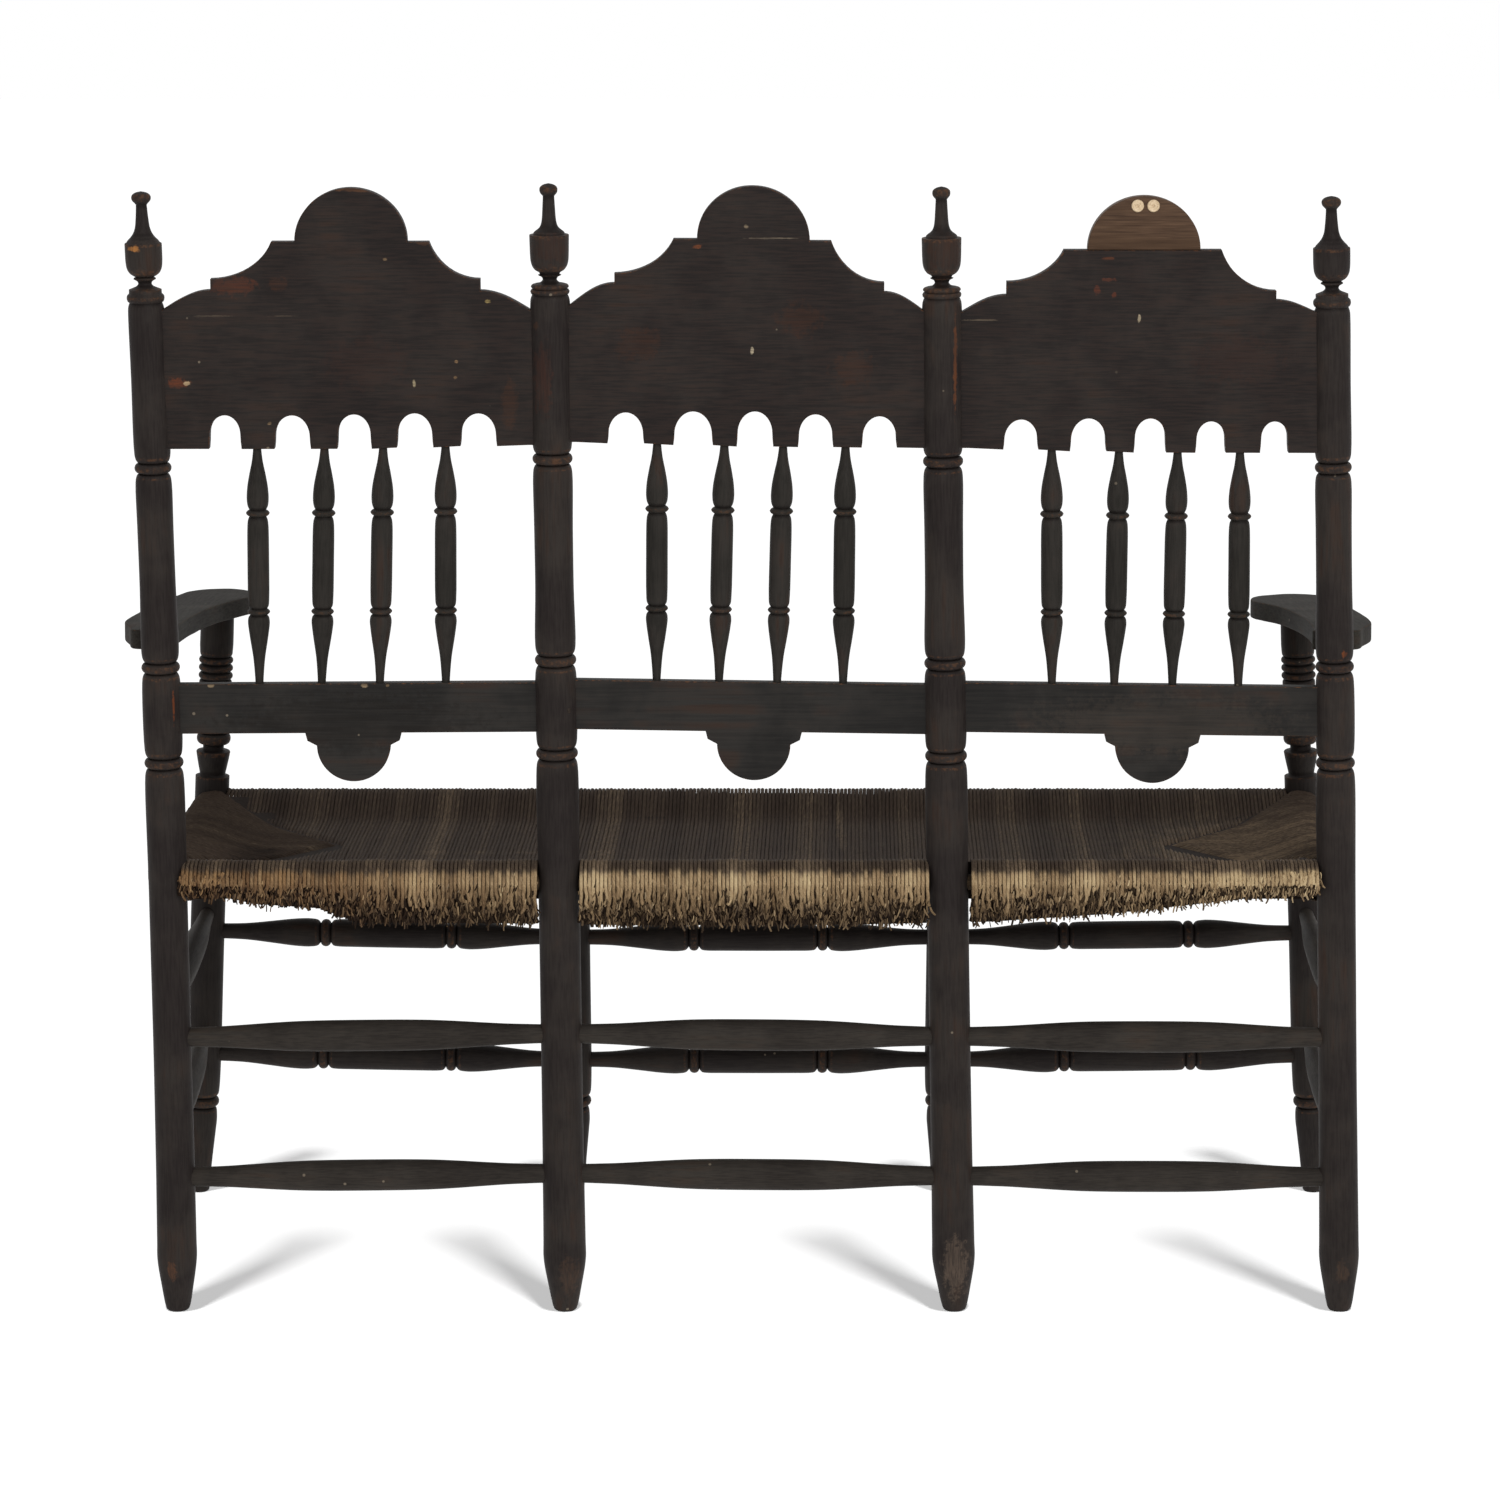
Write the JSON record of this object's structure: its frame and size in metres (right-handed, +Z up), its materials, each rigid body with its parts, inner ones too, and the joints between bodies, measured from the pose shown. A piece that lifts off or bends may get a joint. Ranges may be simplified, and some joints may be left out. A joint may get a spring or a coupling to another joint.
{
  "type": "bannister-back settee",
  "caption": "Long open settee with turned posts and urn finials, shaped crest boards over turned spindles, open arms, paired stretchers and a rush seat.",
  "frame": {"origin": "on the floor, in the middle of the piece's width and depth", "axes": "+Z up; the sitter faces -Y, so the back's rear face looks towards +Y; +X runs along the settee towards the sitter's left arm"},
  "size_m": [1.2926, 0.5424, 1.163],
  "materials": {
    "black_paint": "old black paint on turned and sawn wood, worn satin, brown-red undertone",
    "worn_paint": "black paint rubbed thin over brown wood, matt",
    "brown_wood": "stained brown wood, thin old varnish",
    "bare_wood": "unpainted turned wood, matt",
    "rush": "twisted dry rush, grey-brown on top, tan where worn",
    "bone": "polished bone"
  },
  "bodies": {
    "root": {"arm_left": "black_paint", "arm_right": "black_paint", "back_stretcher_lower_centre": "worn_paint", "back_stretcher_lower_left": "worn_paint", "back_stretcher_lower_right": "worn_paint", "back_stretcher_upper_centre": "worn_paint", "back_stretcher_upper_left": "worn_paint", "back_stretcher_upper_right": "worn_paint", "crest_lobe_right": "brown_wood", "crest_rail_centre": "black_paint", "crest_rail_left": "black_paint", "crest_rail_right": "black_paint", "front_leg_inner_left": "black_paint", "front_leg_inner_right": "black_paint", "front_post_left": "black_paint", "front_post_right": "black_paint", "front_stretcher_lower_centre": "black_paint", "front_stretcher_lower_left": "black_paint", "front_stretcher_lower_right": "black_paint", "front_stretcher_upper_centre": "black_paint", "front_stretcher_upper_left": "black_paint", "front_stretcher_upper_right": "black_paint", "lobe_disc_left": "bone", "lobe_disc_right": "bone", "peg_stay_left": "bare_wood", "peg_stay_right": "bare_wood", "rear_post_left_inner": "black_paint", "rear_post_left_outer": "black_paint", "rear_post_right_inner": "black_paint", "rear_post_right_outer": "black_paint", "rush_seat": "rush", "seat_rail_front": "bare_wood", "seat_rail_left": "bare_wood", "seat_rail_rear_centre": "bare_wood", "seat_rail_rear_left": "bare_wood", "seat_rail_rear_right": "bare_wood", "seat_rail_right": "bare_wood", "side_stretcher_lower_left": "worn_paint", "side_stretcher_lower_right": "worn_paint", "side_stretcher_upper_left": "worn_paint", "side_stretcher_upper_right": "worn_paint", "spindle_centre_1": "black_paint", "spindle_centre_2": "black_paint", "spindle_centre_3": "black_paint", "spindle_centre_4": "black_paint", "spindle_left_1": "black_paint", "spindle_left_2": "black_paint", "spindle_left_3": "black_paint", "spindle_left_4": "black_paint", "spindle_right_1": "black_paint", "spindle_right_2": "black_paint", "spindle_right_3": "black_paint", "spindle_right_4": "black_paint", "stay_rail_centre": "black_paint", "stay_rail_left": "black_paint", "stay_rail_right": "black_paint"}
  },
  "joints": []
}
